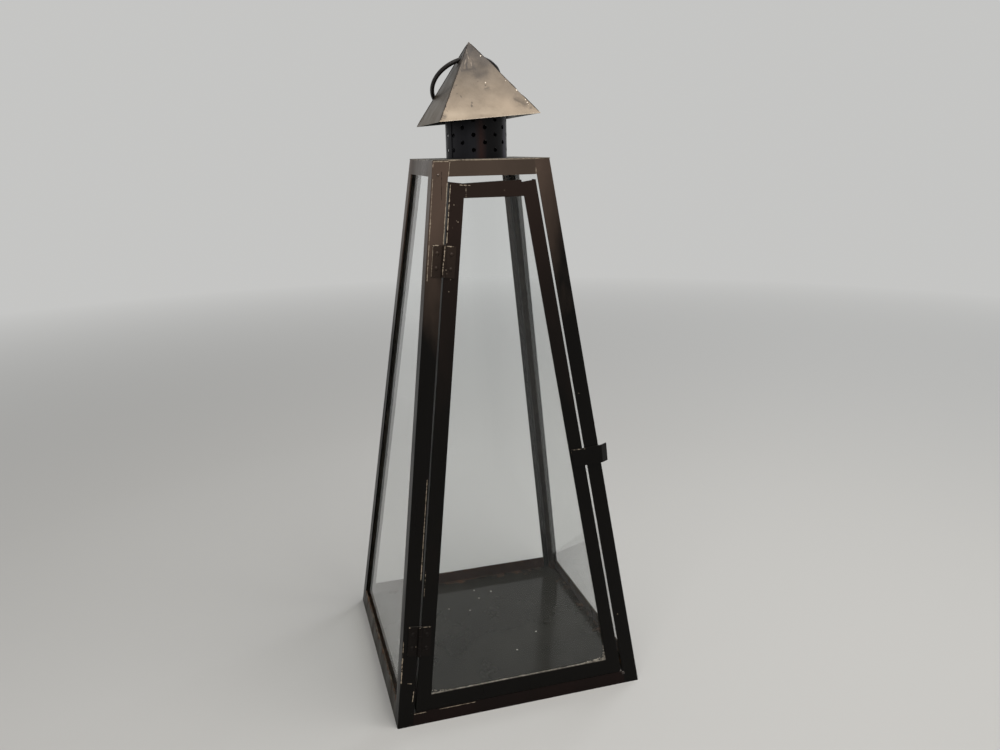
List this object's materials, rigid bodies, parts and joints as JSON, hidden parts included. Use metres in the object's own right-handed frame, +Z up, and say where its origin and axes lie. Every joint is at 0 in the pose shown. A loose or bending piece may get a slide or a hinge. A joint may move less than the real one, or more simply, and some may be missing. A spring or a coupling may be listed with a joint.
{
  "type": "candle lantern",
  "caption": "Tall tapering candle lantern of folded steel angle with glass panes, a hinged glass door, a perforated chimney and a pyramid cap with a carrying ring.",
  "frame": {"origin": "middle of the base square, on the surface that the lantern stands on", "axes": "+Z up, -Y out of the door side, -X towards the door's hinges"},
  "size_m": [0.3, 0.3, 0.7521],
  "materials": {
    "frame_metal": "dark bronze paint, semi-gloss, rubbed to metal on the folds",
    "glass": "clear float glass with dust and water marks",
    "glazing_compound": "aged clear glazing silicone, dusty",
    "hinge_metal": "dark bronze paint, worn along the edges",
    "rivet_metal": "dark bronze paint over domed steel heads",
    "catch_metal": "dark bronze paint, rubbed bright on the edges",
    "chimney_metal": "blue-black heat-tinted steel with rust streaks",
    "braze_metal": "dull brazed joint",
    "cap_metal": "worn bronze-beige paint, satin",
    "ring_metal": "black paint on steel wire",
    "floor_metal": "dull grey paint, dusty and rust-stained"
  },
  "bodies": {
    "frame": {"base_rail_back": "frame_metal", "base_rail_left": "frame_metal", "base_rail_right": "frame_metal", "chimney_tube": "chimney_metal", "corner_post_back_left": "frame_metal", "corner_post_back_right": "frame_metal", "corner_post_front_left": "frame_metal", "corner_post_front_right": "frame_metal", "door_sill": "frame_metal", "floor_pan": "floor_metal", "glass_back": "glass", "glass_left": "glass", "glass_right": "glass", "glazing_bead_back_left": "glazing_compound", "glazing_bead_back_right": "glazing_compound", "glazing_bead_front_left": "glazing_compound", "glazing_bead_front_right": "glazing_compound", "hinge_rivets_frame": "rivet_metal", "lower_hinge_frame_leaf": "hinge_metal", "lower_hinge_pin": "hinge_metal", "roof_cap": "cap_metal", "roof_tacks": "braze_metal", "top_plate": "frame_metal", "top_rail_back": "frame_metal", "top_rail_front": "frame_metal", "top_rail_left": "frame_metal", "top_rail_right": "frame_metal", "upper_hinge_frame_leaf": "hinge_metal", "upper_hinge_pin": "hinge_metal"},
    "door": {"catch_strip": "catch_metal", "door_glass": "glass", "door_glazing_bead": "glazing_compound", "door_rail_bottom": "frame_metal", "door_rail_top": "frame_metal", "door_stile_left": "frame_metal", "door_stile_right": "frame_metal", "hinge_rivets_door": "rivet_metal", "lower_hinge_door_leaf": "hinge_metal", "upper_hinge_door_leaf": "hinge_metal"},
    "ring": {"carry_ring": "ring_metal"}
  },
  "joints": [
    {"name": "door_swing", "type": "hinge", "parent": "frame", "child": "door", "pos_m": [-0.11765, -0.13913, 0.09983], "axis": [-0.1318, -0.1318, -0.9825], "range_deg": [0, 170]},
    {"name": "ring_swing", "type": "hinge", "parent": "frame", "child": "ring", "pos_m": [-0.00436, 0.00073, 0.7338], "axis": [0.9971, 0.0244, 0.0727], "range_deg": [0, 262.3]}
  ]
}
